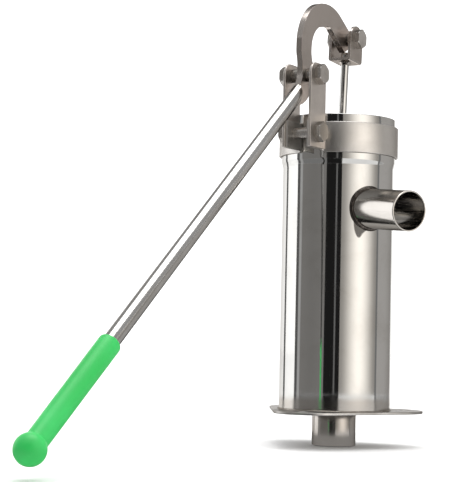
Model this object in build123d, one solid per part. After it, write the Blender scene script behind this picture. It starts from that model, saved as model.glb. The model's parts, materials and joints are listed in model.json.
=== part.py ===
from build123d import *
import os
from math import asin, atan2, cos, degrees, hypot, radians, sin

os.makedirs("parts", exist_ok=True)

# Hand well pump with an open-topped barrel. All sizes are in millimetres.
# Origin: on the barrel's axis, in the underside of the base flange. +Z is up.
# The lever swings in the XZ plane, with the handle towards -X and the bolt heads towards -Y.

# ---------------------------------------------------------------- driving dimensions
# base
flange_thick = 2.5
flange_lobe_reach = 50.0       # axis to the centre of each rounded corner
flange_lobe_r = 36.0
flange_hole_r = 5.5
flange_hole_reach = 69.0
spigot_od = 42.4
spigot_wall = 1.7
spigot_length = 32.0

# barrel
barrel_od = 108.0
barrel_wall = 1.5
rim_z = 284.0
mouth_z = 238.0                # where the barrel is swaged out to form the mouth
mouth_r = 55.4
swage_height = 1.5

# spout
spout_od = 38.0
spout_wall = 1.5
spout_reach = 61.4             # barrel surface to mouth, along the spout
spout_z = 194.6                # spout axis where it leaves the barrel
spout_fall = 5.1               # degrees below the horizontal
spout_angle = -118.0           # direction about +Z, from +X

# swivelling clamp and lever bracket
band_z = 247.0
band_height = 29.0
band_thick = 2.5
band_clearance = 0.06
strap_width = 30.0
strap_thick = 2.5
strap_gap = 25.0               # between the inner faces of the two straps
strap_bottom = 249.0
strap_corner_r = 10.5
strap_foot_chamfer = 1.0
ear_reach = 13.0               # clamp ears, beyond the clamp bolt
ear_inset = 1.5                # ears are this much lower than the band at each edge
ear_root = 1.6                 # ears run this far into the band
pivot_x = -72.0
pivot_z = 318.0
clamp_bolt_drop = 54.2
strap_top = pivot_z + 10.8

# M10 hardware
bolt_r = 5.0
hex_af = 17.0
head_height = 6.4
nut_height = 8.0
hole_r = 5.1
running_r = 5.08
side_gap = 0.25
sleeve_r = 6.2
bolt_overhang = 2.0            # bolt end beyond its nut
clevis_nut_height = 4.5        # thin nut
clevis_bolt_overhang = 0.5
piston_bolt_overhang = 1.5
cut_half = 20.0                # half length of a tool that drills across the lever plane
small_af = 8.0                 # M5 hardware
small_head = 3.5
small_nut = 4.0

# lever
plate_thick = 6.0
crank_r = 97.0                 # pivot to clevis pin
crank_rise = 29.5              # degrees above the horizontal at rest
handle_droop = 38.7            # degrees below the horizontal at rest
tube_od = 14.0
tube_wall = 1.5
tube_offset = 6.3              # tube axis below the pivot
tube_end = 508.0
tube_slant_low = 17.5          # the tube's upper end is cut on a slant, between these two distances
tube_slant_high = 36.0
tube_tab_width = 9.0           # tab of the plate that stands inside the tube
tube_tab_end = 58.0
grip_start = 396.0
grip_od = 19.0
ball_reach = 517.4
ball_r = 12.5

# clevis and rod
clevis_gap = 18.0
clevis_thick = 3.0
clevis_width = 26.0
clevis_drop = 23.0             # pin to the underside of the clevis base
clevis_corner_r = 2.5
clevis_weld = 2.5
rod_r = 4.0
rod_stub = 7.0                 # rod end standing inside the clevis
eye_r = 8.0
eye_half = 11.0
eye_socket_r = 7.0
eye_socket_top = 26.0          # above the piston pin
eye_socket_floor = 10.0

# piston
pin_rest_z = 186.0
pin_r = 3.0
pin_half = 19.0
clip_r = 5.5
clip_thick = 1.0
clip_y = 17.4
pin_height = 40.0              # piston pin above the underside of the piston plate
piston_plate_r = 46.0
piston_plate_thick = 4.0
port_r = 6.5
port_ring_r = 22.0
guide_r = 9.0
guide_height = 14.0
guide_clearance = 0.4
fork_thick = 3.0
fork_gap = 25.0
fork_reach = 21.0
fork_corner_r = 8.0
fork_above_pin = 8.5
slot_end_room = 1.0
seal_clearance = 0.08
cup_height = 24.0
cup_wall = 3.5
cup_foot_r = 2.5
cup_hole_r = 33.0
retainer_thick = 3.0
retainer_bolt_ring_r = 39.5
retainer_bolt_r = 2.5
retainer_bolt_end = 5.5        # below the piston plate
valve_disc_r = 31.0
valve_disc_thick = 4.0
valve_weight_r = 20.0
valve_weight_thick = 3.0

# foot valve
seat_bore_r = 20.0
seat_r = 27.0
seat_height = 4.0
seat_pad_start = 20.0          # the seat's flat pad under the hinge, along X
seat_pad_end = 44.0
seat_pad_half = 14.0
flap_r = 26.0
flap_thick = 4.0
flap_hinge_x = 30.2
flap_tail_half = 12.0
flap_hinge_gap = 0.8           # each side of the hinge line
flap_bolt_r = 3.0
flap_weight_r = 15.0
flap_weight_thick = 5.0
rivet_head_r = 6.0
rivet_head_height = 2.2
rivet_head_round = 1.8
rivet_washer_r = 11.0
rivet_washer_thick = 2.0
tongue_end = 43.0
clamp_bar_half = 13.0
clamp_bar_thick = 3.0
clamp_screw_x = 37.0
clamp_screw_y = 8.0
clamp_screw_r = 2.5
screw_floor = flange_thick + 0.5
rest_gap = 0.1

# ---------------------------------------------------------------- derived places
barrel_r = barrel_od / 2
bore_r = barrel_r - barrel_wall
clamp_bolt_z = pivot_z - clamp_bolt_drop
crank_x = pivot_x + crank_r * cos(radians(crank_rise))
crank_z = pivot_z + crank_r * sin(radians(crank_rise))
rod_length = hypot(crank_x, crank_z - pin_rest_z)
rod_lean = degrees(atan2(crank_x, crank_z - pin_rest_z))
slot_travel = crank_r - crank_r * cos(radians(crank_rise))
slot_lift = 0.5                # the lever's arc against the piston's steady travel, shared out
slot_play = 0.9
piston_z = pin_rest_z - pin_height
cup_floor = piston_plate_thick + cup_wall
retainer_top = cup_floor + retainer_thick
fork_z = piston_plate_thick + guide_height
bracket_face = strap_gap / 2 + strap_thick
clevis_face = clevis_gap / 2 + clevis_thick
seat_top = flange_thick + seat_height
flap_low = seat_top + rest_gap
flap_top = flap_low + flap_thick
flap_weight_top = flap_top + flap_weight_thick

BASE = (Align.CENTER, Align.CENTER, Align.MIN)


# ---------------------------------------------------------------- helpers
def rod(radius, low, high):
    """Solid cylinder about Z between two heights."""
    return Pos(0, 0, low) * Cylinder(radius, high - low, align=BASE)


def ring(outer, inner, low, high):
    """Cylinder about Z with a concentric hole."""
    return rod(outer, low, high) - rod(inner, low - 1, high + 1)


def block(low, high):
    """Box between two opposite corners."""
    size = [high[i] - low[i] for i in range(3)]
    return Pos(*low) * Box(*size, align=(Align.MIN, Align.MIN, Align.MIN))


def hexagon(across_flats, low, high, chamfer_top=0.8):
    """Hexagonal prism about Z with its upper corners turned away."""
    body = Pos(0, 0, low) * extrude(RegularPolygon(across_flats / 2, 6, major_radius=False), high - low)
    crown = rod(across_flats / 2 * 1.155, low - 1, high)
    crown = chamfer(crown.edges().sort_by(Axis.Z)[-1], chamfer_top)
    return body & crown


def drill(radius, x, z):
    """Cutting tool that drills across the lever plane."""
    return across(rod(radius, -cut_half, cut_half), x, z)


def across(shape, x, z, turn=0):
    """Lay a shape made about +Z along +Y at the given place in the XZ plane."""
    return Pos(x, 0, z) * Rot(0, turn, 0) * Rot(-90, 0, 0) * shape


def hex_bolt(head_at, end_at, radius=bolt_r, af=hex_af, head=head_height):
    """Bolt about Z, its head below head_at and its plain end at end_at."""
    shank = rod(radius, head_at - 1, end_at)
    shank = chamfer(shank.edges().sort_by(Axis.Z)[-1], 0.8)
    return Rot(180, 0, 0) * hexagon(af, -head_at, -head_at + head) + shank


def hex_nut(low, high, bore=bolt_r, af=hex_af):
    """Nut about Z."""
    return hexagon(af, low, high) - rod(bore, low - 1, high + 1)


def group(*solids):
    """Separate solids that share one node."""
    return Compound(children=list(solids))


def save(node, shape):
    """Write one node as its own STEP file."""
    export_step(shape, "parts/" + node + ".step")


def lever_place(shape):
    """Move a shape drawn about the pivot to its place at rest."""
    return Pos(pivot_x, 0, pivot_z) * shape


def rod_place(shape):
    """Move a shape drawn with the clevis pin at the origin and the rod down -Z to its place at rest."""
    return Pos(crank_x, 0, crank_z) * Rot(0, rod_lean, 0) * shape


def tube_place(shape):
    """Move a shape drawn up +Z from the pivot along the handle to its place at rest."""
    along = Rot(0, -90 - handle_droop, 0)
    return lever_place(along * Pos(-tube_offset, 0, 0) * shape)


# ---------------------------------------------------------------- base and barrel
def flange_outline():
    corners = []
    for k in range(3):
        angle = radians(spout_angle + 60 + 120 * k)
        centre = (flange_lobe_reach * cos(angle), flange_lobe_reach * sin(angle))
        corners.append(Pos(*centre) * Circle(flange_lobe_r))
    return make_hull([corner.edge() for corner in corners])


def base_flange():
    plate = extrude(flange_outline(), flange_thick)
    plate -= rod(spigot_od / 2 - spigot_wall, -1, flange_thick + 1)
    for k in range(3):
        angle = spout_angle + 60 + 120 * k
        plate -= Rot(0, 0, angle) * Pos(flange_hole_reach, 0, 0) * rod(flange_hole_r, -1, flange_thick + 1)
    return plate


def inlet_spigot():
    return ring(spigot_od / 2, spigot_od / 2 - spigot_wall, -spigot_length, 0)


def spout_axis(shape):
    """Move a shape drawn up +Z from the barrel surface along the spout to its place."""
    tilt = Rot(0, 90 + spout_fall, 0)
    return Rot(0, 0, spout_angle) * Pos(barrel_r, 0, spout_z) * tilt * shape


def barrel():
    wall = barrel_wall
    outline = Polyline(
        (bore_r, flange_thick),
        (barrel_r, flange_thick),
        (barrel_r, mouth_z),
        (mouth_r, mouth_z + swage_height),
        (mouth_r, rim_z),
        (mouth_r - wall, rim_z),
        (mouth_r - wall, mouth_z + swage_height),
        (bore_r, mouth_z),
        (bore_r, flange_thick),
    )
    tube = revolve(Plane.XZ * make_face(outline), Axis.Z)
    return tube - spout_axis(rod(spout_od / 2 - spout_wall, -15, 15))


def spout():
    tube = spout_axis(ring(spout_od / 2, spout_od / 2 - spout_wall, -10, spout_reach))
    return tube - rod(barrel_r, 0, rim_z)


# ---------------------------------------------------------------- foot valve
def clamp_screw_holes():
    """Cutting tools for the two hinge clamp screws."""
    hole = rod(clamp_screw_r, screw_floor, flap_top + clamp_bar_thick)
    return [Pos(clamp_screw_x, clamp_screw_y * side, 0) * hole for side in (-1, 1)]


def valve_seat():
    seat = rod(seat_r, flange_thick, seat_top)
    seat += block((seat_pad_start, -seat_pad_half, flange_thick), (seat_pad_end, seat_pad_half, seat_top))
    seat -= rod(seat_bore_r, 0, seat_top + 1)
    for hole in clamp_screw_holes():
        seat -= hole
    return seat


def flap_disc():
    disc = rod(flap_r, flap_low, flap_top)
    tail_end = flap_hinge_x - flap_hinge_gap
    disc += block((0, -flap_tail_half, flap_low), (tail_end, flap_tail_half, flap_top))
    return disc - rod(flap_bolt_r, 0, flap_top + 1)


def flap_weight():
    return ring(flap_weight_r, flap_bolt_r, flap_top, flap_weight_top)


def flap_rivet():
    head = rod(rivet_head_r, flap_weight_top, flap_weight_top + rivet_head_height)
    head = fillet(head.edges().sort_by(Axis.Z)[-1], rivet_head_round)
    washer = rod(rivet_washer_r, flap_low - rivet_washer_thick, flap_low)
    return head + rod(flap_bolt_r, flap_low - 1, flap_weight_top + 1) + washer


def flap_tongue():
    start = flap_hinge_x + flap_hinge_gap
    tongue = block((start, -flap_tail_half, seat_top), (tongue_end, flap_tail_half, flap_top - rest_gap))
    for hole in clamp_screw_holes():
        tongue -= hole
    return tongue


def flap_clamp_bar():
    low = flap_top - rest_gap
    start = flap_hinge_x + 1.5 * flap_hinge_gap
    bar = block((start, -clamp_bar_half, low), (tongue_end, clamp_bar_half, low + clamp_bar_thick))
    for hole in clamp_screw_holes():
        bar -= hole
    return bar


def flap_screws():
    top = flap_top - rest_gap + clamp_bar_thick
    screw = Rot(180, 0, 0) * hex_bolt(-top, -screw_floor, clamp_screw_r, small_af, small_head)
    return group(*[Pos(clamp_screw_x, clamp_screw_y * side, 0) * screw for side in (-1, 1)])


# ---------------------------------------------------------------- swivelling bracket
def clamp_band():
    inner = mouth_r + band_clearance
    outer = inner + band_thick
    top = band_z + band_height
    half = strap_gap / 2
    band = ring(outer, inner, band_z, top)
    band -= block((-outer - 1, -half + band_thick, band_z - 1), (0, half - band_thick, top + 1))
    ears = Part()
    root_x = ear_root - (outer ** 2 - half ** 2) ** 0.5
    for low_y in (-half, half - band_thick):
        low_corner = (pivot_x - ear_reach, low_y, band_z + ear_inset)
        ears += block(low_corner, (root_x, low_y + band_thick, top - ear_inset))
    band += ears - rod(inner, band_z - 1, top + 1)
    return band - drill(hole_r, pivot_x, clamp_bolt_z)


def strap_outline():
    half = strap_width / 2
    height = strap_top - strap_bottom
    shape = Pos(0, height / 2) * Rectangle(strap_width, height)
    shape = fillet(shape.vertices().sort_by(Axis.Y)[-2:], strap_corner_r)
    return chamfer(shape.vertices().sort_by(Axis.Y)[:2], strap_foot_chamfer)


def strap(side):
    inner = strap_gap / 2
    near = inner if side > 0 else -inner - strap_thick
    bar = Pos(pivot_x, near + strap_thick, strap_bottom) * extrude(Plane.XZ * strap_outline(), strap_thick)
    bar -= drill(hole_r, pivot_x, pivot_z)
    return bar - drill(hole_r, pivot_x, clamp_bolt_z)


def bracket_bolt(z):
    return across(hex_bolt(-bracket_face, bracket_face + nut_height + bolt_overhang), pivot_x, z, 30)


def bracket_nut(z):
    return across(hex_nut(bracket_face, bracket_face + nut_height), pivot_x, z, 30)


def sleeve_pair(far):
    """Two spacer sleeves about Z, from beside the lever plate out to the given distance."""
    near = plate_thick / 2 + side_gap
    return [ring(sleeve_r, bolt_r, near, far), ring(sleeve_r, bolt_r, -far, -near)]


def pivot_spacers():
    return group(*[across(sleeve, pivot_x, pivot_z) for sleeve in sleeve_pair(strap_gap / 2)])


# ---------------------------------------------------------------- lever
def tube_side_view(high, overhang):
    """Side view of the tube with its slanted upper end, extruded across the lever."""
    half = tube_od / 2 + overhang
    rise = (tube_slant_high - tube_slant_low) * overhang / tube_od
    outline = Polyline(
        (half, tube_slant_low - rise),
        (-half, tube_slant_high + rise),
        (-half, high),
        (half, high),
        (half, tube_slant_low - rise),
    )
    return extrude(Plane.XZ * make_face(outline), tube_od, both=True)


def handle_tube():
    tube = ring(tube_od / 2, tube_od / 2 - tube_wall, 0, tube_end)
    return tube_place(tube & tube_side_view(tube_end + 1, 1))


def hook_outline():
    """Question-mark shaped plate, drawn about the pivot."""
    tip = (crank_x - pivot_x, crank_z - pivot_z)
    tip_r = 8.0
    shoulder = (64.0, 69.0)
    heel = (76.0, 34.0)

    def tangent(point, side):
        away = (tip[0] - point[0], tip[1] - point[1])
        reach = hypot(*away)
        heading = atan2(away[1], away[0]) + side * asin(tip_r / reach)
        length = (reach ** 2 - tip_r ** 2) ** 0.5
        return (point[0] + length * cos(heading), point[1] + length * sin(heading))

    outer_tangent = tangent(shoulder, 1)
    heel_tangent = tangent(heel, -1)
    edges = [
        Line((-10.5, -4.0), (-10.0, 8.0)),
        Spline((-10.0, 8.0), (-12.4, 20.0), (-12.4, 34.0), tangents=[(0, 1), (0, 1)]),
        ThreePointArc((-12.4, 34.0), (2.5, 61.5), (30.0, 74.0)),
        ThreePointArc((30.0, 74.0), (47.0, 74.2), shoulder),
        Line(shoulder, outer_tangent),
        ThreePointArc(outer_tangent, (tip[0] + tip_r, tip[1]), heel_tangent),
        Line(heel_tangent, heel),
        Line(heel, (50.0, 50.3)),
        ThreePointArc((50.0, 50.3), (42.5, 53.6), (34.5, 52.0)),
        ThreePointArc((34.5, 52.0), (15.0, 44.6), (7.3, 28.0)),
        ThreePointArc((7.3, 28.0), (7.6, 20.0), (10.5, 12.0)),
        ThreePointArc((10.5, 12.0), (13.5, -1.0), (8.0, -12.0)),
        ThreePointArc((8.0, -12.0), (1.0, -22.0), (-9.0, -28.4)),
        Line((-9.0, -28.4), (-17.5, -31.5)),
        Line((-17.5, -31.5), (-24.0, -24.0)),
        Line((-24.0, -24.0), (-13.6, -10.0)),
        Line((-13.6, -10.0), (-10.5, -4.0)),
    ]
    return make_face(edges)


def hook_plate():
    half = plate_thick / 2
    plate = Pos(0, half, 0) * extrude(Plane.XZ * hook_outline(), plate_thick)
    plate = lever_place(plate)
    plate -= tube_place(tube_side_view(tube_tab_end, 0))
    tab = block((-tube_tab_width / 2, -half, tube_slant_low), (tube_tab_width / 2, half, tube_tab_end))
    plate += tube_place(tab)
    plate -= drill(running_r, pivot_x, pivot_z)
    return plate - drill(running_r, crank_x, crank_z)


def grip():
    half = grip_od / 2
    neck = ball_reach - (ball_r ** 2 - (half - 0.6) ** 2) ** 0.5
    outline = make_face([
        Line((tube_od / 2, grip_start), (half - 1.5, grip_start)),
        RadiusArc((half - 1.5, grip_start), (half, grip_start + 1.5), -1.5),
        Line((half, grip_start + 1.5), (half - 0.6, neck)),
        ThreePointArc((half - 0.6, neck), (ball_r, ball_reach), (0, ball_reach + ball_r)),
        Line((0, ball_reach + ball_r), (0, tube_end)),
        Line((0, tube_end), (tube_od / 2, tube_end)),
        Line((tube_od / 2, tube_end), (tube_od / 2, grip_start)),
    ])
    return tube_place(revolve(Plane.XZ * outline, Axis.Z))


# ---------------------------------------------------------------- clevis and rod
def clevis():
    half = clevis_width / 2
    solid_u = block((-half, -clevis_face, -clevis_drop), (half, clevis_face, 0))
    solid_u += across(rod(half, -clevis_face, clevis_face), 0, 0)
    inside = clevis_gap / 2
    solid_u -= block((-half - 1, -inside, clevis_thick - clevis_drop), (half + 1, inside, half + 1))
    long_edges = [e for e in solid_u.edges().filter_by(Axis.X) if abs(e.center().Z + clevis_drop) < 0.01]
    solid_u = fillet(long_edges, clevis_corner_r)
    weld = Cone(rod_r + 0.6, rod_r + clevis_weld, clevis_weld, align=BASE)
    solid_u += Pos(0, 0, -clevis_drop - clevis_weld) * weld
    solid_u -= drill(hole_r, 0, 0)
    return rod_place(solid_u - rod(rod_r, -clevis_drop - 2 * clevis_weld, 0))


def clevis_bolt():
    end = clevis_face + clevis_nut_height + clevis_bolt_overhang
    return rod_place(across(hex_bolt(-clevis_face, end), 0, 0, 30))


def clevis_nut():
    return rod_place(across(hex_nut(clevis_face, clevis_face + clevis_nut_height), 0, 0, 30))


def clevis_spacers():
    return group(*[rod_place(across(sleeve, 0, 0)) for sleeve in sleeve_pair(clevis_gap / 2)])


def pump_rod():
    return rod_place(rod(rod_r, eye_socket_floor - rod_length, clevis_thick - clevis_drop + rod_stub))


def rod_eye():
    socket_top = eye_socket_top - rod_length
    eye = across(rod(eye_r, -eye_half, eye_half), 0, -rod_length)
    eye += rod(eye_socket_r, -rod_length, socket_top)
    eye -= rod(rod_r, eye_socket_floor - rod_length, socket_top + 1)
    return rod_place(eye - drill(pin_r, 0, -rod_length))


def piston_pin():
    return rod_place(across(rod(pin_r, -pin_half, pin_half), 0, -rod_length))


def pin_clips():
    clip = ring(clip_r, pin_r, clip_y - clip_thick / 2, clip_y + clip_thick / 2)
    pair = [clip, Rot(180, 0, 0) * clip]
    return group(*[rod_place(across(shape, 0, -rod_length)) for shape in pair])


# ---------------------------------------------------------------- piston
def piston_place(shape):
    """Move a shape drawn above the piston plate's underside to its place at rest."""
    return Pos(0, 0, piston_z) * shape


def around_retainer(shape):
    """Four copies of a shape, at the retainer ring's screws."""
    return [Rot(0, 0, 45 + 90 * k) * Pos(retainer_bolt_ring_r, 0, 0) * shape for k in range(4)]


def drill_retainer(shape):
    for hole in around_retainer(rod(retainer_bolt_r, -1, retainer_top + 1)):
        shape -= hole
    return shape


def piston_plate():
    plate = ring(piston_plate_r, bolt_r, 0, piston_plate_thick)
    for k in range(6):
        plate -= Rot(0, 0, 60 * k) * Pos(port_ring_r, 0, 0) * rod(port_r, -1, piston_plate_thick + 1)
    return piston_place(drill_retainer(plate))


def cup_seal():
    wall_r = bore_r - seal_clearance
    cup = rod(wall_r, piston_plate_thick, cup_height) - rod(wall_r - cup_wall, cup_floor, cup_height + 1)
    cup = fillet(cup.edges().filter_by(GeomType.CIRCLE).group_by(Axis.Z)[0], cup_foot_r)
    cup -= rod(cup_hole_r, 0, retainer_top)
    return piston_place(drill_retainer(cup))


def retainer_ring():
    return piston_place(drill_retainer(ring(piston_plate_r, cup_hole_r, cup_floor, retainer_top)))


def retainer_screws():
    screw = hex_bolt(-retainer_top, retainer_bolt_end, retainer_bolt_r, small_af, small_head)
    return group(*[piston_place(place) for place in around_retainer(Rot(180, 0, 0) * screw)])


def retainer_nuts():
    nut = hex_nut(-small_nut, 0, retainer_bolt_r, small_af)
    return group(*[piston_place(place) for place in around_retainer(nut)])


def valve_guide():
    return piston_place(ring(guide_r, bolt_r, piston_plate_thick, fork_z))


def piston_fork():
    outer = fork_gap / 2 + fork_thick
    low_x = slot_travel / 2 - fork_reach
    high_x = slot_travel / 2 + fork_reach
    top = pin_height + fork_above_pin
    fork = block((low_x, -outer, fork_z), (high_x, outer, top))
    inside_low = (low_x - 1, -fork_gap / 2, fork_z + fork_thick)
    fork -= block(inside_low, (high_x + 1, fork_gap / 2, top + 1))
    slot_height = 2 * (pin_r + slot_play)
    slot = Plane.XZ * SlotOverall(slot_travel + slot_height + slot_end_room, slot_height)
    fork -= Pos(slot_travel / 2, cut_half, pin_height + slot_lift) * extrude(slot, 2 * cut_half)
    top_edges = fork.edges().filter_by(Axis.Y).group_by(Axis.Z)[-1]
    fork = fillet(top_edges, fork_corner_r)
    return piston_place(fork - rod(bolt_r, 0, fork_z + fork_thick + 1))


def piston_bolt():
    bolt = hex_bolt(-fork_z - fork_thick, nut_height + piston_bolt_overhang)
    return piston_place(Rot(180, 0, 0) * bolt)


def piston_nut():
    return piston_place(hex_nut(-nut_height, 0))


valve_disc_top = piston_plate_thick + rest_gap + valve_disc_thick


def valve_disc():
    low = valve_disc_top - valve_disc_thick
    return piston_place(ring(valve_disc_r, guide_r + guide_clearance, low, valve_disc_top))


def valve_weight():
    top = valve_disc_top + valve_weight_thick
    return piston_place(ring(valve_weight_r, guide_r + guide_clearance, valve_disc_top, top))


# ---------------------------------------------------------------- nodes
save("base_flange", base_flange())
save("inlet_spigot", inlet_spigot())
save("barrel", barrel())
save("spout", spout())
save("valve_seat", valve_seat())
save("flap_tongue", flap_tongue())
save("flap_clamp_bar", flap_clamp_bar())
save("flap_screws", flap_screws())
save("flap_disc", flap_disc())
save("flap_weight", flap_weight())
save("flap_rivet", flap_rivet())
save("clamp_band", clamp_band())
save("front_strap", strap(-1))
save("rear_strap", strap(1))
save("pivot_bolt", bracket_bolt(pivot_z))
save("pivot_nut", bracket_nut(pivot_z))
save("pivot_spacers", pivot_spacers())
save("clamp_bolt", bracket_bolt(clamp_bolt_z))
save("clamp_nut", bracket_nut(clamp_bolt_z))
save("hook_plate", hook_plate())
save("handle_tube", handle_tube())
save("grip", grip())
save("clevis", clevis())
save("clevis_bolt", clevis_bolt())
save("clevis_nut", clevis_nut())
save("clevis_spacers", clevis_spacers())
save("pump_rod", pump_rod())
save("rod_eye", rod_eye())
save("piston_pin", piston_pin())
save("pin_clips", pin_clips())
save("piston_plate", piston_plate())
save("cup_seal", cup_seal())
save("retainer_ring", retainer_ring())
save("retainer_screws", retainer_screws())
save("retainer_nuts", retainer_nuts())
save("valve_guide", valve_guide())
save("piston_fork", piston_fork())
save("piston_bolt", piston_bolt())
save("piston_nut", piston_nut())
save("valve_disc", valve_disc())
save("valve_weight", valve_weight())
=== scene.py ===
import json
from math import acos, asin, cos, pi, radians, sin, sqrt, tan

import bmesh
import bpy
from mathutils import Matrix, Vector

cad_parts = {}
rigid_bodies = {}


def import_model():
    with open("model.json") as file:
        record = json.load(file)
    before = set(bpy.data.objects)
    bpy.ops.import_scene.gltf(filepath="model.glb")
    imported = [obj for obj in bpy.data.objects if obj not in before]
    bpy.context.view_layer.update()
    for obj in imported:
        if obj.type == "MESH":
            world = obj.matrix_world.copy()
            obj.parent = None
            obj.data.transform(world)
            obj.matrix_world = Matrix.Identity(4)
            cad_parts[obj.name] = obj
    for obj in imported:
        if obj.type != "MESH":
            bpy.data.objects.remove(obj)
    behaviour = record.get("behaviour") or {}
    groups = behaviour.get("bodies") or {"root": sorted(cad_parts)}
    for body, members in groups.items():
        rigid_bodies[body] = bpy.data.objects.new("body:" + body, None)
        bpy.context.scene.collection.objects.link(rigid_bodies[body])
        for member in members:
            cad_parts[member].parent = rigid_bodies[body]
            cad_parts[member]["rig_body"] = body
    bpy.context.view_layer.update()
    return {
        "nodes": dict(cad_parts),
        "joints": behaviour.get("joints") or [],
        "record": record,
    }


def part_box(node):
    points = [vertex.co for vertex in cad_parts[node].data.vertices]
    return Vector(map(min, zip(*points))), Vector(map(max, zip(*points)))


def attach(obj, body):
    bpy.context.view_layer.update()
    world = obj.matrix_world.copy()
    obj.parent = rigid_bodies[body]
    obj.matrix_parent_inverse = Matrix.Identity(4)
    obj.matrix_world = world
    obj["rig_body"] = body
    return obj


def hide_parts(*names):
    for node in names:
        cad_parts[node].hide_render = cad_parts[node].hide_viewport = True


# Looks for the hand well pump. Everything is in metres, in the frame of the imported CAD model:
# the barrel's axis is Z, the base flange's underside is z = 0 and the handle points towards -X.

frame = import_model()
nodes = frame["nodes"]
scene = bpy.context.scene
joints = {j["name"]: j for j in frame["joints"]}
mounts = {m["name"]: m for m in frame["record"]["mounts"]}

MM = 0.001

# ---------------------------------------------------------------- places from the CAD model, and given sizes
barrel_low, barrel_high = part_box("barrel")
flange_top = barrel_low.z
rim_z = barrel_high.z
mouth_r = barrel_high.x
spigot_low, spigot_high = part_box("inlet_spigot")
spigot_r = spigot_high.x
spout_mount = mounts["spout_bore"]
spout_mouth = Vector(spout_mount["pos_m"])
spout_out = Vector(spout_mount["axis"]).normalized()
spout_bore = spout_mount["dims"]["r_mm"] * MM
pivot = Vector(joints["lever_pivot"]["pos_m"])

sheet = 1.5 * MM                        # wall of the drawn tubes
barrel_r = 54 * MM
spout_r = spout_bore + sheet
swage_low = 238 * MM                    # where the barrel is swaged out to its mouth
swage_high = 239.5 * MM
handle_droop = 38.7                     # degrees below level at rest
studio_r = 1.3                          # radius of the studio's round wall
studio_top = 0.9


# ---------------------------------------------------------------- materials
class Finish:
    """A procedural material: short ways to add nodes in front of its one Principled shader."""

    def __init__(self, name, **sockets):
        self.material = bpy.data.materials.new(name)
        self.material.use_nodes = True
        self.tree = self.material.node_tree
        self.shader = self.tree.nodes["Principled BSDF"]
        for socket, value in sockets.items():
            self.shader.inputs[socket.replace("_", " ")].default_value = value
        coordinates = self.tree.nodes.new("ShaderNodeTexCoord").outputs
        self.place, self.facing = coordinates["Object"], coordinates["Normal"]

    def node(self, kind, **settings):
        made = self.tree.nodes.new("ShaderNode" + kind)
        for key, value in settings.items():
            setattr(made, key, value)
        return made

    def wire(self, output, socket):
        self.tree.links.new(output, socket)

    def noise(self, scale, stretch=(1, 1, 1), turn=(0, 0, 0), detail=3.0, rough=0.5, warp=0.0):
        mapping = self.node("Mapping", vector_type="TEXTURE" if turn != (0, 0, 0) else "POINT")
        if turn != (0, 0, 0):
            mapping.inputs["Rotation"].default_value = turn
            self.wire(self.place, mapping.inputs["Vector"])
            stretched = self.node("Mapping")
            stretched.inputs["Scale"].default_value = stretch
            self.wire(mapping.outputs["Vector"], stretched.inputs["Vector"])
            mapping = stretched
        else:
            mapping.inputs["Scale"].default_value = stretch
            self.wire(self.place, mapping.inputs["Vector"])
        texture = self.node("TexNoise")
        texture.inputs["Scale"].default_value = scale
        texture.inputs["Detail"].default_value = detail
        texture.inputs["Roughness"].default_value = rough
        texture.inputs["Distortion"].default_value = warp
        self.wire(mapping.outputs["Vector"], texture.inputs["Vector"])
        return texture.outputs["Fac"]

    def span(self, value, from_low, from_high, to_low, to_high, smooth=False):
        made = self.node("MapRange", interpolation_type="SMOOTHSTEP" if smooth else "LINEAR")
        limits = {"From Min": from_low, "From Max": from_high, "To Min": to_low, "To Max": to_high}
        for key, number in limits.items():
            made.inputs[key].default_value = number
        self.wire(value, made.inputs["Value"])
        return made.outputs["Result"]

    def maths(self, operation, a, b):
        made = self.node("Math", operation=operation)
        for socket, value in zip(made.inputs, (a, b)):
            if isinstance(value, (int, float)):
                socket.default_value = value
            else:
                self.wire(value, socket)
        return made.outputs["Value"]

    def mix(self, share, a, b):
        """Blend of two colours; each is a tuple or an output."""
        made = self.node("Mix", data_type="RGBA")
        self.wire(share, made.inputs["Factor"])
        for socket, value in ((made.inputs["A"], a), (made.inputs["B"], b)):
            if isinstance(value, tuple):
                socket.default_value = (*value, 1)
            else:
                self.wire(value, socket)
        return made.outputs["Result"]

    def bump(self, height, distance, strength=1.0, below=None):
        made = self.node("Bump")
        made.inputs["Distance"].default_value = distance
        made.inputs["Strength"].default_value = strength
        self.wire(height, made.inputs["Height"])
        if below is not None:
            self.wire(below, made.inputs["Normal"])
        return made.outputs["Normal"]

    def colour(self, output):
        self.wire(output, self.shader.inputs["Base Color"])

    def roughness(self, output):
        self.wire(output, self.shader.inputs["Roughness"])

    def normal(self, output):
        self.wire(output, self.shader.inputs["Normal"])


EDGE = (0.30, 0.29, 0.28, 1)            # tint of bare steel at a grazing angle


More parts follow.
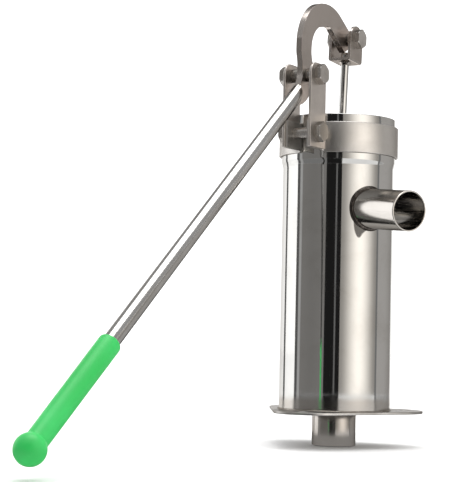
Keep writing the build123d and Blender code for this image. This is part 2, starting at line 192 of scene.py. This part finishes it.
def steel(name, light, dark, rough, grain, grain_turn=(0, 0, 0), grain_depth=0.4e-6, wave=2.0e-5,
          wave_scale=14, pits=0.0, cut_edge=False):
    """Bare steel: rough is its roughness from clean to smudged, grain the stretch of its polishing lines.

    With cut_edge, faces that don't look along Y are the ground edges of a plate, and are shinier.
    """
    f = Finish(name, Metallic=1.0, Specular_Tint=EDGE)
    smudge = f.noise(26, detail=5, rough=0.62, warp=0.4)
    cloud = f.noise(7, detail=2)
    lines = f.noise(1.0, stretch=grain, turn=grain_turn, detail=4, rough=0.7)
    f.colour(f.mix(f.span(f.maths("MULTIPLY", smudge, cloud), 0.18, 0.36, 0, 1, True), light, dark))
    worn = f.maths("ADD", f.span(smudge, 0.35, 0.75, 0, 0.7, True), f.span(lines, 0.35, 0.75, 0, 0.3))
    surface = f.span(worn, 0, 1, rough[0], rough[1])
    if cut_edge:
        apart = f.node("SeparateXYZ")
        f.wire(f.facing, apart.inputs["Vector"])
        flat = f.span(f.maths("ABSOLUTE", apart.outputs["Y"], 0), 0.6, 0.9, 0.55, 1, True)
        surface = f.maths("MULTIPLY", surface, flat)
    f.roughness(surface)
    normal = f.bump(f.noise(wave_scale, detail=1), wave)
    if pits:
        normal = f.bump(f.noise(420, detail=4, rough=0.7), pits, below=normal)
    f.normal(f.bump(lines, grain_depth, below=normal))
    return f


def barrel_steel():
    """Mirror-polished tube: duller strip above the base weld, and faint polishing rings."""
    f = Finish("polished_tube", Metallic=1.0, Specular_Tint=(0.6, 0.59, 0.58, 1))
    smudge = f.noise(24, detail=5, rough=0.6, warp=0.5)
    lines = f.noise(1.0, stretch=(40, 40, 2600), detail=3, rough=0.6)
    apart = f.node("SeparateXYZ")
    f.wire(f.place, apart.inputs["Vector"])
    height = apart.outputs["Z"]
    edge = f.maths("ADD", height, f.span(f.noise(60, detail=2), 0.3, 0.7, -0.0012, 0.0012))
    base_tint = f.span(edge, 0.0105, 0.0175, 1, 0, True)
    light = f.mix(f.span(smudge, 0.45, 0.75, 0, 1, True), (0.66, 0.655, 0.64), (0.60, 0.59, 0.57))
    f.colour(f.mix(base_tint, light, (0.53, 0.50, 0.465)))
    polished = f.maths("ADD", f.span(smudge, 0.4, 0.8, 0.035, 0.10, True), f.span(lines, 0.4, 0.8, 0, 0.03))
    f.roughness(f.maths("ADD", polished, f.span(base_tint, 0, 1, 0, 0.11)))
    normal = f.bump(f.noise(9, stretch=(1, 1, 0.45), detail=1), 3.5e-5)
    f.normal(f.bump(lines, 0.25e-6, below=normal))
    return f


def weld_steel(name, clean, heat_tint_and_shade):
    """Fused bead: scaly surface that goes from clean metal to heat tint; with near-black colours, as at the
    spout's root, its colour is painted shade.
    """
    f = Finish(name, Metallic=1.0, Specular_Tint=EDGE)
    scale = f.noise(260, detail=4, rough=0.65)
    f.colour(f.mix(f.span(scale, 0.35, 0.7, 0, 1), clean, heat_tint_and_shade))
    f.roughness(f.span(scale, 0.3, 0.7, 0.22, 0.42))
    f.normal(f.bump(scale, 6.0e-5))
    return f


def vinyl():
    """Dipped vinyl: even colour with slow clouds, a soft skin and a very fine orange peel."""
    f = Finish("dipped_vinyl", Specular_IOR_Level=0.33, Coat_Weight=0.08, Coat_Roughness=0.35)
    cloud = f.noise(16, detail=3, rough=0.5)
    fleck = f.noise(900, detail=2)
    base = f.mix(f.span(cloud, 0.35, 0.7, 0, 1, True), (0.030, 0.520, 0.100), (0.044, 0.605, 0.140))
    f.colour(f.mix(f.span(fleck, 0.62, 0.8, 0, 0.35), base, (0.08, 0.60, 0.18)))
    f.roughness(f.span(f.noise(70, detail=4), 0.3, 0.7, 0.34, 0.48))
    soft = f.bump(f.noise(55, detail=2), 6.0e-5)
    f.normal(f.bump(f.noise(1500, detail=2), 6.0e-6, below=soft))
    return f


def rubber():
    f = Finish("seal_rubber_finish", Specular_IOR_Level=0.35)
    bloom = f.noise(45, detail=5, rough=0.65)
    f.colour(f.mix(f.span(bloom, 0.4, 0.75, 0, 1), (0.022, 0.022, 0.023), (0.050, 0.049, 0.047)))
    f.roughness(f.span(bloom, 0.3, 0.7, 0.5, 0.72))
    f.normal(f.bump(f.noise(1300, detail=3), 1.2e-5))
    return f


def shell():
    """Rubber-dipped or cast weights inside the pump: grey with a grained skin."""
    return steel("cast_weight", (0.42, 0.42, 0.41), (0.27, 0.26, 0.25), (0.42, 0.6), (300, 300, 300),
                 pits=4.0e-5)


TUBE = barrel_steel()
STUB = steel("spigot_steel", (0.56, 0.53, 0.50), (0.46, 0.43, 0.40), (0.12, 0.20), (60, 60, 1500),
             wave=1.2e-5)
SPOUT = steel("spout_steel", (0.64, 0.61, 0.575), (0.50, 0.47, 0.435), (0.13, 0.23), (300, 300, 300),
              wave=2.4e-5, wave_scale=30)
STRAP = steel("strap_steel", (0.80, 0.75, 0.71), (0.70, 0.655, 0.615), (0.30, 0.42), (1400, 60, 140),
              grain_depth=1.1e-6, wave=1.0e-5, pits=1.6e-6)
PLATE = steel("plate_steel", (0.60, 0.55, 0.515), (0.52, 0.475, 0.44), (0.30, 0.42), (1400, 60, 140),
              grain_depth=1.1e-6, wave=1.0e-5, pits=1.6e-6, cut_edge=True)
BAND = steel("band_steel", (0.74, 0.715, 0.685), (0.66, 0.635, 0.605), (0.32, 0.42), (50, 50, 2300),
             grain_depth=0.9e-6, wave=1.6e-5)
FLANGE = steel("flange_steel", (0.70, 0.68, 0.655), (0.46, 0.44, 0.415), (0.26, 0.38), (260, 260, 260),
               wave=3.0e-5, wave_scale=40, pits=2.0e-6)
FASTENER = steel("bolt_steel", (0.74, 0.715, 0.685), (0.52, 0.49, 0.455), (0.17, 0.31), (500, 500, 500),
                 wave=3.0e-5, wave_scale=90, pits=3.0e-6)
# Turned steel painted darker than the other steels: painted shade for the spacers between the straps and the
# parts inside the barrel.
SHADED_TURNED = steel("turned_steel_painted_shade", (0.46, 0.44, 0.415), (0.33, 0.31, 0.285), (0.20, 0.33), (90, 2400, 90),
               grain_depth=1.0e-6)
DRAWN = steel("drawn_tube_steel", (0.66, 0.65, 0.635), (0.56, 0.545, 0.525), (0.15, 0.24), (900, 900, 30),
              (0, radians(-90 - handle_droop), 0), grain_depth=0.2e-6, wave=0.5e-5, wave_scale=20)
ROD = steel("ground_rod_steel", (0.68, 0.675, 0.665), (0.60, 0.59, 0.575), (0.07, 0.14), (60, 60, 1800),
            wave=0.8e-5, wave_scale=40)
WEIGHT = shell()
WELD = weld_steel("weld_bead", (0.50, 0.47, 0.43), (0.24, 0.20, 0.165))
# Near-black bead for the spout's root: its dark colour is painted shade in the crease where the spout meets
# the barrel.
SHADED_WELD = weld_steel("spout_weld_painted_shade", (0.16, 0.14, 0.125), (0.035, 0.03, 0.027))
VINYL = vinyl()
RUBBER = rubber()

BY_SLOT = {
    "polished_steel": TUBE,
    "satin_steel": PLATE,
    "fastener_steel": FASTENER,
    "drawn_steel": ROD,
    "grip_vinyl": VINYL,
    "seal_rubber": RUBBER,
}
BY_NODE = {
    "inlet_spigot": STUB,
    "base_flange": FLANGE,
    "front_strap": STRAP,
    "rear_strap": STRAP,
    "clamp_band": BAND,
    "handle_tube": DRAWN,
    "pivot_spacers": SHADED_TURNED,
    "clevis_spacers": SHADED_TURNED,
    "rod_eye": SHADED_TURNED,
    "piston_pin": SHADED_TURNED,
    "piston_plate": SHADED_TURNED,
    "retainer_ring": SHADED_TURNED,
    "valve_guide": SHADED_TURNED,
    "flap_weight": WEIGHT,
    "valve_weight": WEIGHT,
}


# ---------------------------------------------------------------- mesh helpers
def slot_of(node):
    return nodes[node].data.materials[0].name.split(".")[0]


slots = {node: slot_of(node) for node in nodes}
bodies = {node: nodes[node]["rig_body"] for node in nodes}


def piece(name, mesh, finish, body, stands_for=()):
    """Adds a finished mesh to the object."""
    obj = bpy.data.objects.new(name, mesh)
    scene.collection.objects.link(obj)
    mesh.materials.clear()
    mesh.materials.append(finish.material)
    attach(obj, body)
    if stands_for:
        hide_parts(*stands_for)
    return obj


def mesh_from(name, verts, faces, sharp=40, weld=0.0):
    mesh = bpy.data.meshes.new(name)
    mesh.from_pydata([tuple(v) for v in verts], [], faces)
    bm = bmesh.new()
    bm.from_mesh(mesh)
    if weld:
        bmesh.ops.remove_doubles(bm, verts=bm.verts, dist=weld)
    bmesh.ops.recalc_face_normals(bm, faces=bm.faces)
    bm.to_mesh(mesh)
    bm.free()
    mesh.polygons.foreach_set("use_smooth", [True] * len(mesh.polygons))
    mesh.set_sharp_from_angle(angle=radians(sharp))
    return mesh


def refined(node, width, segments=2, finish=None):
    """A CAD node with its facets merged and its edges rounded over."""
    source = nodes[node].data
    mesh = bpy.data.meshes.new(node + "_look")
    mesh.from_pydata([v.co for v in source.vertices], [], [tuple(p.vertices) for p in source.polygons])
    bm = bmesh.new()
    bm.from_mesh(mesh)
    bmesh.ops.remove_doubles(bm, verts=bm.verts, dist=2e-6)
    bmesh.ops.dissolve_limit(bm, angle_limit=radians(0.4), verts=bm.verts, edges=bm.edges)
    bmesh.ops.recalc_face_normals(bm, faces=bm.faces)
    bm.to_mesh(mesh)
    bm.free()
    mesh.polygons.foreach_set("use_smooth", [True] * len(mesh.polygons))
    finish = finish or BY_NODE.get(node, BY_SLOT[slots[node]])
    obj = piece(node + "_look", mesh, finish, bodies[node], [node])
    bevel = obj.modifiers.new("round_over", "BEVEL")
    bevel.width = width
    bevel.segments = segments
    bevel.limit_method = "ANGLE"
    bevel.angle_limit = radians(32)
    even = obj.modifiers.new("even_faces", "WEIGHTED_NORMAL")
    even.keep_sharp = True
    even.weight = 60
    return obj


def rounded_loop(points, radius, steps=5):
    """A closed 2-D outline with its corners rounded; each point may carry its own radius."""
    made = []
    count = len(points)
    for i, point in enumerate(points):
        here = Vector(point[:2])
        r = point[2] if len(point) > 2 else radius
        before = Vector(points[i - 1][:2]) - here
        after = Vector(points[(i + 1) % count][:2]) - here
        bend = before.angle(after)
        if r <= 0 or bend > radians(178):
            made.append(here)
            continue
        reach = min(r / tan(bend / 2), 0.49 * before.length, 0.49 * after.length)
        r = reach * tan(bend / 2)
        start = here + before.normalized() * reach
        end = here + after.normalized() * reach
        centre = here + (before.normalized() + after.normalized()).normalized() * (r / sin(bend / 2))
        a, b = start - centre, end - centre
        sweep = a.angle_signed(b)
        for k in range(steps + 1):
            turn = -sweep * k / steps
            swung = Vector((a.x * cos(turn) - a.y * sin(turn), a.x * sin(turn) + a.y * cos(turn)))
            made.append(centre + swung)
    return made


def lathe(name, outline, place=Matrix.Identity(4), segments=144, sharp=40, closed=True):
    """Mesh of revolution about Z from (radius, height) points, moved by place."""
    verts, faces = [], []
    count = len(outline)
    for s in range(segments):
        a = 2 * pi * s / segments
        for r, z in outline:
            verts.append(place @ Vector((r * cos(a), r * sin(a), z)))
    for s in range(segments):
        t = (s + 1) % segments
        for k in range(count if closed else count - 1):
            m = (k + 1) % count
            faces.append((s * count + k, t * count + k, t * count + m, s * count + m))
    return mesh_from(name, verts, faces, sharp, weld=1e-7)


def axes(origin, along, side):
    """Matrix whose Z runs along, with X near side."""
    z = Vector(along).normalized()
    y = z.cross(Vector(side)).normalized()
    x = y.cross(z)
    made = Matrix((x, y, z)).transposed().to_4x4()
    made.translation = origin
    return made


def bead(name, path, outward, radius, body, closed=True, ripple=2.2, squash=0.75, finish=None):
    """A weld bead along a path: outward gives, for each point, the direction the bead swells in."""
    count = len(path)
    ring = 12
    verts, faces = [], []
    length = 0.0
    for i, point in enumerate(path):
        before = path[i - 1] if closed or i else path[0]
        after = path[(i + 1) % count] if closed or i + 1 < count else path[-1]
        along = (after - before).normalized()
        out = (outward[i] - along * outward[i].dot(along)).normalized()
        flat = along.cross(out)
        if i:
            length += (point - path[i - 1]).length
        scallop = abs(sin(pi * length / (ripple * MM)))
        wander = 0.06 * sin(length * 173.0) + 0.05 * sin(length * 311.0 + 1.3)
        swell = radius * (0.84 + 0.16 * scallop + wander)
        taper = 1.0
        if not closed:
            taper = min(1.0, 0.25 + 2.5 * min(i, count - 1 - i) / max(8, count / 5))
        for k in range(ring):
            a = 2 * pi * k / ring
            raised = out * (swell * taper * squash * sin(a))
            verts.append(point + raised + flat * (radius * taper * (0.95 + wander) * cos(a)))
    for i in range(count if closed else count - 1):
        j = (i + 1) % count
        for k in range(ring):
            m = (k + 1) % ring
            faces.append((i * ring + k, j * ring + k, j * ring + m, i * ring + m))
    if not closed:
        faces.append(tuple(range(ring)))
        faces.append(tuple((count - 1) * ring + k for k in range(ring)))
    return piece(name, mesh_from(name, verts, faces, 80), finish or WELD, body)


def circle_path(radius, z, count):
    angles = [2 * pi * k / count for k in range(count)]
    return [Vector((radius * cos(a), radius * sin(a), z)) for a in angles]


# ---------------------------------------------------------------- barrel, spout and base
def barrel_look():
    wall = sheet
    steps = 14
    ease_length = 3.0 * MM
    foot, shoulder = swage_low - ease_length, swage_high + ease_length
    outer, inner = [], []
    for k in range(steps + 1):
        z = flange_top + (foot - flange_top) * k / steps
        outer.append((barrel_r, z))
        inner.append((barrel_r - wall, z))
    spread = mouth_r - barrel_r
    for k in range(1, 13):
        share = k / 12
        ease = share * share * (3 - 2 * share)
        z = foot + (shoulder - foot) * share
        outer.append((barrel_r + spread * ease, z))
        inner.append((barrel_r - wall + spread * ease, z))
    for k in range(1, 6):
        z = shoulder + (rim_z - 0.7 * MM - shoulder) * k / 5
        outer.append((mouth_r, z))
        inner.append((mouth_r - wall, z))
    lip_angles = [pi * k / 8 for k in range(1, 8)]
    lip = [(mouth_r - wall / 2 + wall / 2 * cos(a), rim_z - 0.7 * MM + 0.7 * MM * sin(a)) for a in lip_angles]
    outline = outer + lip + inner[::-1]
    mesh = lathe("barrel_tube", outline, segments=180)
    drill_place = axes(spout_mouth - spout_out * 0.085, spout_out, (0, 0, 1))
    drill_outline = [(0, 0), (spout_bore, 0), (spout_bore, 0.05), (0, 0.05)]
    drill = lathe("spout_hole", drill_outline, drill_place, 96, closed=False)
    body = bpy.data.objects.new("barrel_blank", mesh)
    cutter = bpy.data.objects.new("barrel_drill", drill)
    scene.collection.objects.link(body)
    scene.collection.objects.link(cutter)
    cut = body.modifiers.new("hole", "BOOLEAN")
    cut.object = cutter
    cut.operation = "DIFFERENCE"
    cut.solver = "EXACT"
    bpy.context.view_layer.update()
    drilled = bpy.data.meshes.new_from_object(body.evaluated_get(bpy.context.evaluated_depsgraph_get()))
    bpy.data.objects.remove(body)
    bpy.data.objects.remove(cutter)
    drilled.polygons.foreach_set("use_smooth", [True] * len(drilled.polygons))
    drilled.set_sharp_from_angle(angle=radians(35))
    piece("barrel_tube", drilled, TUBE, "barrel", ["barrel"])


def spout_start(radius, turn, surface):
    """Distance back from the mouth, along the spout, to where it meets a cylinder about Z."""
    place = axes(spout_mouth, spout_out, (0, 0, 1))
    edge = place @ Vector((radius * cos(turn), radius * sin(turn), 0))
    d = spout_out
    a = d.x * d.x + d.y * d.y
    b = 2 * (edge.x * d.x + edge.y * d.y)
    c = edge.x ** 2 + edge.y ** 2 - surface ** 2
    root = sqrt(max(0.0, b * b - 4 * a * c))
    return edge, (-b + root) / (2 * a)


def spout_look():
    """Thin tube whose root is cut to the barrel and whose mouth has a small turned lip."""
    place = axes(spout_mouth, spout_out, (0, 0, 1))
    columns = 120
    verts, faces = [], []
    lip = 0.55 * MM
    outer_steps = [0.0, 0.04, 0.3, 0.6, 0.9, 0.97]
    count = 0
    for s in range(columns):
        turn = 2 * pi * s / columns
        column = []
        _, back_out = spout_start(spout_r, turn, barrel_r - 0.3 * MM)
        _, back_in = spout_start(spout_bore, turn, barrel_r - 0.9 * MM)
        for share in outer_steps:
            column.append((spout_r, back_out * (1 - share)))
        column += [(spout_r, -lip), (spout_r - 0.2 * MM, -0.25 * lip), (spout_r - lip, 0)]
        column += [(spout_bore + lip, 0), (spout_bore + 0.2 * MM, -0.25 * lip), (spout_bore, -lip)]
        for share in outer_steps[::-1]:
            column.append((spout_bore, back_in * (1 - share)))
        count = len(column)
        for r, z in column:
            verts.append(place @ Vector((r * cos(turn), r * sin(turn), z)))
    for s in range(columns):
        t = (s + 1) % columns
        for k in range(count):
            m = (k + 1) % count
            faces.append((s * count + k, t * count + k, t * count + m, s * count + m))
    mesh = mesh_from("spout_tube", verts, faces, 38)
    piece("spout_tube", mesh, SPOUT, "barrel", ["spout"])
    path, out = [], []
    steps = 200
    for s in range(steps):
        turn = 2 * pi * s / steps
        edge, back = spout_start(spout_r + 0.25 * MM, turn, barrel_r + 0.1 * MM)
        point = edge + spout_out * back
        path.append(point)
        radial = Vector((point.x, point.y, 0)).normalized()
        tube_side = (point - (spout_mouth + spout_out * (point - spout_mouth).dot(spout_out))).normalized()
        out.append((radial + tube_side).normalized())
    # The spout's weld uses the near-black bead: painted shade round the spout's root.
    bead("spout_weld", path, out, 2.7 * MM, "barrel", ripple=1.7, finish=SHADED_WELD)


def base_look():
    refined("base_flange", 0.55 * MM, 3)
    edge = 0.4 * MM
    wall = 1.7 * MM
    outline = rounded_loop([
        (spigot_r - wall, spigot_low.z),
        (spigot_r, spigot_low.z),
        (spigot_r, spigot_low.z + 0.010),
        (spigot_r, spigot_high.z),
        (spigot_r - wall, spigot_high.z),
        (spigot_r - wall, spigot_low.z + 0.010),
    ], edge, 3)
    mesh = lathe("spigot_tube", outline, segments=128)
    piece("spigot_tube", mesh, STUB, "barrel", ["inlet_spigot"])
    path = circle_path(barrel_r + 0.25 * MM, flange_top + 0.15 * MM, 420)
    out = [(Vector((p.x, p.y, 0)).normalized() + Vector((0, 0, 1))).normalized() for p in path]
    bead("base_weld", path, out, 1.0 * MM, "barrel", ripple=2.4)
    path = circle_path(spigot_r + 0.25 * MM, -0.2 * MM, 220)
    out = [(Vector((p.x, p.y, 0)).normalized() - Vector((0, 0, 1))).normalized() for p in path]
    bead("spigot_weld", path, out, 1.25 * MM, "barrel", ripple=2.0)


# ---------------------------------------------------------------- clamp and bracket
def band_look():
    """The clamp is one bent strip: round the mouth, then out through a bend into the two ears."""
    low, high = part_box("clamp_band")
    strap_low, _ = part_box("front_strap")
    outer = high.x
    thick = 2.5 * MM
    gap_half = -strap_low.y - 2.5 * MM
    middle = outer - thick / 2
    bend = 3.2 * MM
    ear_y = gap_half - thick / 2
    centre_y = ear_y + bend
    reach = middle + bend
    centre_x = -sqrt(reach ** 2 - centre_y ** 2)
    contact = Vector((centre_x, centre_y)).normalized() * middle
    ear = []
    for k in range(6):
        ear.append(Vector((low.x + (centre_x - low.x) * k / 5, ear_y)))
    start = pi * 1.5
    toward = contact - Vector((centre_x, centre_y))
    end_angle = Vector((1, 0)).angle_signed(toward) * -1
    end_angle = end_angle if end_angle > start else end_angle + 2 * pi
    corner = []
    for k in range(1, 9):
        a = start + (end_angle - start) * k / 8
        corner.append(Vector((centre_x + bend * cos(a), centre_y + bend * sin(a))))
    contact_angle = acos(contact.x / middle)
    arc = []
    steps = 150
    for k in range(1, steps):
        a = contact_angle - 2 * contact_angle * k / steps
        arc.append(Vector((middle * cos(a), middle * sin(a))))
    half = ear + corner
    path = half + arc + [Vector((p.x, -p.y)) for p in half[::-1]]
    verts, faces = [], []
    rim = 0.6 * MM
    profile = []
    for x, z_side in ((-1, -1), (1, -1), (1, 1), (-1, 1)):
        for k in range(4):
            base = {(-1, -1): pi, (1, -1): 1.5 * pi, (1, 1): 0, (-1, 1): 0.5 * pi}[(x, z_side)]
            a = base + pi / 2 * k / 3
            profile.append((x * (thick / 2 - rim) + rim * cos(a), z_side, rim * sin(a)))
    for i, point in enumerate(path):
        before = path[max(i - 1, 0)]
        after = path[min(i + 1, len(path) - 1)]
        along = (after - before).normalized()
        side = Vector((along.y, -along.x))
        from_end = min(i, len(path) - 1 - i)
        inset = 1.5 * MM if from_end <= 5 else 1.5 * MM * max(0.0, 1 - (from_end - 5) / 7)
        for across, z_side, dz in profile:
            z = (low.z + rim + inset) if z_side < 0 else (high.z - rim - inset)
            spot = point - side * across
            verts.append((spot.x, spot.y, z + dz))
    ring = len(profile)
    for i in range(len(path) - 1):
        for k in range(ring):
            m = (k + 1) % ring
            faces.append((i * ring + k, (i + 1) * ring + k, (i + 1) * ring + m, i * ring + m))
    faces.append(tuple(range(ring)))
    faces.append(tuple((len(path) - 1) * ring + k for k in range(ring)))
    mesh = mesh_from("clamp_strip", verts, faces, 45)
    piece("clamp_strip", mesh, BAND, "bracket", ["clamp_band"])


def bracket_look():
    band_look()
    for node in ("front_strap", "rear_strap"):
        refined(node, 0.5 * MM, 3)
    for node in ("pivot_bolt", "clamp_bolt", "clevis_bolt"):
        refined(node, 0.22 * MM, 2)
    for node in ("pivot_nut", "clamp_nut", "clevis_nut"):
        refined(node, 0.25 * MM, 2)
    for node in ("pivot_spacers", "clevis_spacers"):
        refined(node, 0.25 * MM, 2)


# ---------------------------------------------------------------- lever
def lever_look():
    refined("hook_plate", 0.45 * MM, 2)
    refined("handle_tube", 0.25 * MM, 2)
    grip_look()


def grip_look():
    """Dipped grip: soft rolled rim, long body and a ball drawn out of it at the end."""
    slope = radians(handle_droop)
    along = Vector((-cos(slope), 0, -sin(slope)))
    offset = Vector((sin(slope), 0, -cos(slope))) * (6.3 * MM)
    place = axes(pivot + offset, along, (0, 1, 0))
    body_r = 9.5 * MM
    ball_r = 12.5 * MM
    ball_at = 517.4 * MM
    start = 396.0 * MM
    outline = [(7.0 * MM, start + 0.8 * MM), (7.15 * MM, start + 0.15 * MM)]
    for k in range(9):
        a = pi / 2 * k / 8
        outline.append((body_r - 1.7 * MM + 1.7 * MM * sin(a), start + 1.7 * MM - 1.7 * MM * cos(a)))
    blend_r = 2.6 * MM
    neck_centre_r = body_r - 0.5 * MM + blend_r
    neck_z = ball_at - sqrt((ball_r + blend_r) ** 2 - neck_centre_r ** 2)
    steps = 12
    for k in range(1, steps + 1):
        share = k / steps
        outline.append((body_r - 0.5 * MM * share, start + 1.7 * MM + (neck_z - start - 1.7 * MM) * share))
    join = asin(neck_centre_r / (ball_r + blend_r))
    for k in range(1, 6):
        a = pi - (pi / 2 - join) * k / 5
        outline.append((neck_centre_r + blend_r * cos(a), neck_z + blend_r * sin(pi - a)))
    for k in range(0, 25):
        a = join + (pi - join) * k / 24
        outline.append((max(0.0, ball_r * sin(a)), ball_at - ball_r * cos(a)))
    mesh = lathe("grip_skin", outline, place, 96, sharp=60, closed=False)
    piece("grip_skin", mesh, VINYL, "lever", ["grip"])


# ---------------------------------------------------------------- clevis, rod and inner parts
def rod_look():
    refined("clevis", 0.5 * MM, 3)
    refined("pump_rod", 0.3 * MM, 2)
    shown = {"barrel", "spout", "base_flange", "inlet_spigot", "clamp_band", "front_strap", "rear_strap"}
    shown |= {"pivot_bolt", "clamp_bolt", "clevis_bolt", "pivot_nut", "clamp_nut", "clevis_nut"}
    shown |= {"pivot_spacers", "clevis_spacers", "hook_plate", "handle_tube", "grip", "clevis", "pump_rod"}
    for node in sorted(set(nodes) - shown):
        refined(node, 0.2 * MM, 2)


barrel_look()
spout_look()
base_look()
bracket_look()
lever_look()
rod_look()


# ---------------------------------------------------------------- studio
view_turn = radians(-152.87)           # direction from the barrel's axis to the camera, about +Z


def studio_glow(name, middle, edge, tint=(1, 1, 1)):
    """Light panel whose brightness goes from edge to middle and back across its width."""
    material = bpy.data.materials.new(name)
    material.use_nodes = True
    tree = material.node_tree
    tree.nodes.clear()
    across = tree.nodes.new("ShaderNodeAttribute")
    across.attribute_name = "across"
    ramp = tree.nodes.new("ShaderNodeValToRGB")
    ramp.color_ramp.interpolation = "EASE"
    stops = ramp.color_ramp.elements
    stops[0].color = (*[edge * c for c in tint], 1)
    stops[1].color = (*[edge * c for c in tint], 1)
    centre = stops.new(0.5)
    centre.color = (*[middle * c for c in tint], 1)
    glow = tree.nodes.new("ShaderNodeEmission")
    out = tree.nodes.new("ShaderNodeOutputMaterial")
    tree.links.new(across.outputs["Fac"], ramp.inputs["Fac"])
    tree.links.new(ramp.outputs["Color"], glow.inputs["Color"])
    tree.links.new(glow.outputs["Emission"], out.inputs["Surface"])
    return material


def panel(name, left, right, low, high, middle, edge=None, tint=(1, 1, 1), radius=studio_r):
    """Curved studio panel from left to right, in degrees to the right of the camera, unseen by the camera."""
    edge = middle if edge is None else edge
    columns = max(2, int(abs(right - left) / 2))
    mesh = bpy.data.meshes.new(name)
    verts, faces, share = [], [], []
    for k in range(columns + 1):
        turn = view_turn + radians(left + (right - left) * k / columns)
        for z in (low, high):
            verts.append((radius * cos(turn), radius * sin(turn), z))
            share.append(k / columns)
    for k in range(columns):
        faces.append((2 * k, 2 * k + 2, 2 * k + 3, 2 * k + 1))
    mesh.from_pydata(verts, [], faces)
    mesh.attributes.new("across", "FLOAT", "POINT").data.foreach_set("value", share)
    mesh.materials.append(studio_glow(name, middle, edge, tint))
    obj = bpy.data.objects.new(name, mesh)
    scene.collection.objects.link(obj)
    obj.visible_camera = False
    obj.visible_shadow = True
    return obj


def reflection_card(name, verts, faces, strength):
    """A dim card that only shiny surfaces see, so the pale floor stays pale."""
    mesh = bpy.data.meshes.new(name)
    mesh.from_pydata(verts, [], faces)
    mesh.attributes.new("across", "FLOAT", "POINT")
    mesh.materials.append(studio_glow(name, strength, strength))
    card = bpy.data.objects.new(name, mesh)
    scene.collection.objects.link(card)
    card.visible_camera = False
    card.visible_diffuse = False
    card.visible_shadow = False
    card.visible_transmission = False


def ring_sector(radius_in, z_in, radius_out, z_out, left=-180, right=180):
    """Flat or sloping ring about the barrel's axis, between two directions in degrees right of the camera."""
    verts, faces = [], []
    columns = max(2, int((right - left) / 4))
    for k in range(columns + 1):
        a = view_turn + radians(left + (right - left) * k / columns)
        verts.append((radius_in * cos(a), radius_in * sin(a), z_in))
        verts.append((radius_out * cos(a), radius_out * sin(a), z_out))
    for k in range(columns):
        faces.append((2 * k, 2 * k + 2, 2 * k + 3, 2 * k + 1))
    return verts, faces


def studio():
    world = bpy.data.worlds.new("studio_air")
    scene.world = world
    world.use_nodes = True
    air = world.node_tree.nodes["Background"]
    air.inputs["Color"].default_value = (1, 1, 1, 1)
    air.inputs["Strength"].default_value = 1.6

    floor_z = spigot_low.z - 0.0006
    floor = bpy.data.meshes.new("studio_floor")
    bm = bmesh.new()
    bmesh.ops.create_grid(bm, x_segments=24, y_segments=24, size=6.0)
    bm.to_mesh(floor)
    bm.free()
    ground = bpy.data.objects.new("studio_floor", floor)
    ground.location.z = floor_z
    scene.collection.objects.link(ground)
    paper = Finish("pale_paper", Roughness=0.9, Specular_IOR_Level=0.2)
    grain = paper.noise(35, detail=4)
    paper.colour(paper.mix(grain, (0.86, 0.86, 0.86), (0.89, 0.89, 0.885)))
    floor.materials.append(paper.material)

    card_z = floor_z + 0.0003
    near, far = 0.22, studio_r - 0.02
    card_glow = 0.42
    reflection_card("near_floor", *ring_sector(0.0, card_z, near, card_z), card_glow)
    skylight_r, skylight_z = 0.62, 1.55
    ceiling = ring_sector(skylight_r, skylight_z, studio_r, studio_top + 0.02)
    reflection_card("dim_ceiling", *ceiling, card_glow)

    warm = (1.0, 0.95, 0.885)
    dim = (1.0, 0.97, 0.94)
    wall = [
        ("thin_flag", -131, -123, 0.18, 0.18, (1, 1, 1)),
        ("left_flag", -90, -83, 0.12, 0.12, (1, 1, 1)),
        ("left_wall_near", -83, -76, 0.48, 0.40, (1, 1, 1)),
        ("left_wall", -76, -23, 0.22, 0.24, dim),
        ("dark_doorway", -23, 8, 0.015, 0.015, (1, 1, 1)),
        ("softbox", 8, 88, 1.62, 0.38, warm),
        ("right_flag", 88, 93, 0.22, 0.22, (1, 1, 1)),
        ("right_wall", 93, 152, 0.50, 0.48, dim),
    ]
    for name, left, right, middle, edge, tint in wall:
        panel(name, left, right, floor_z, studio_top, middle, edge, tint)
        sector = ring_sector(near, card_z, far, card_z, left, right)
        reflection_card(name + "_floor", *sector, 0.5 * (middle + edge))
    panel("stand", -3.6, -0.4, floor_z, studio_top, 0.17, radius=studio_r - 0.03)

    top = bpy.data.lights.new("top_softbox", "AREA")
    top.shape = "DISK"
    top.size = 2.2
    top.energy = 26
    lamp = bpy.data.objects.new("top_softbox", top)
    lamp.location = (0, 0, 2.4)
    lamp.visible_camera = False
    scene.collection.objects.link(lamp)


def camera():
    """Low viewpoint in front of the handle, tilted up a little, with the picture turned a degree."""
    distance, height = 1.527, 0.0756 + flange_top
    yaw, pitch, roll = radians(3.516), radians(3.311), radians(1.189)
    data = bpy.data.cameras.new("camera")
    data.sensor_width = 36
    data.lens = 120.0
    data.sensor_fit = "HORIZONTAL"
    data.shift_x = -0.014
    data.shift_y = -0.005
    data.clip_start, data.clip_end = 0.05, 40
    obj = bpy.data.objects.new("camera", data)
    scene.collection.objects.link(obj)
    turn = Matrix.Rotation(view_turn + radians(90), 4, "Z")
    aim = turn @ Matrix.Rotation(yaw, 4, "Z") @ Matrix.Rotation(pitch, 4, "X")
    right = (aim.to_3x3() @ Vector((1, 0, 0)))
    up = (aim.to_3x3() @ Vector((0, 0, 1)))
    ahead = (aim.to_3x3() @ Vector((0, 1, 0)))
    leaned_right = cos(roll) * right + sin(roll) * up
    leaned_up = cos(roll) * up - sin(roll) * right
    made = Matrix((leaned_right, leaned_up, -ahead)).transposed().to_4x4()
    made.translation = turn @ Vector((0, -distance, height))
    obj.matrix_world = made
    scene.camera = obj


studio()
camera()
scene.view_settings.view_transform = "Standard"
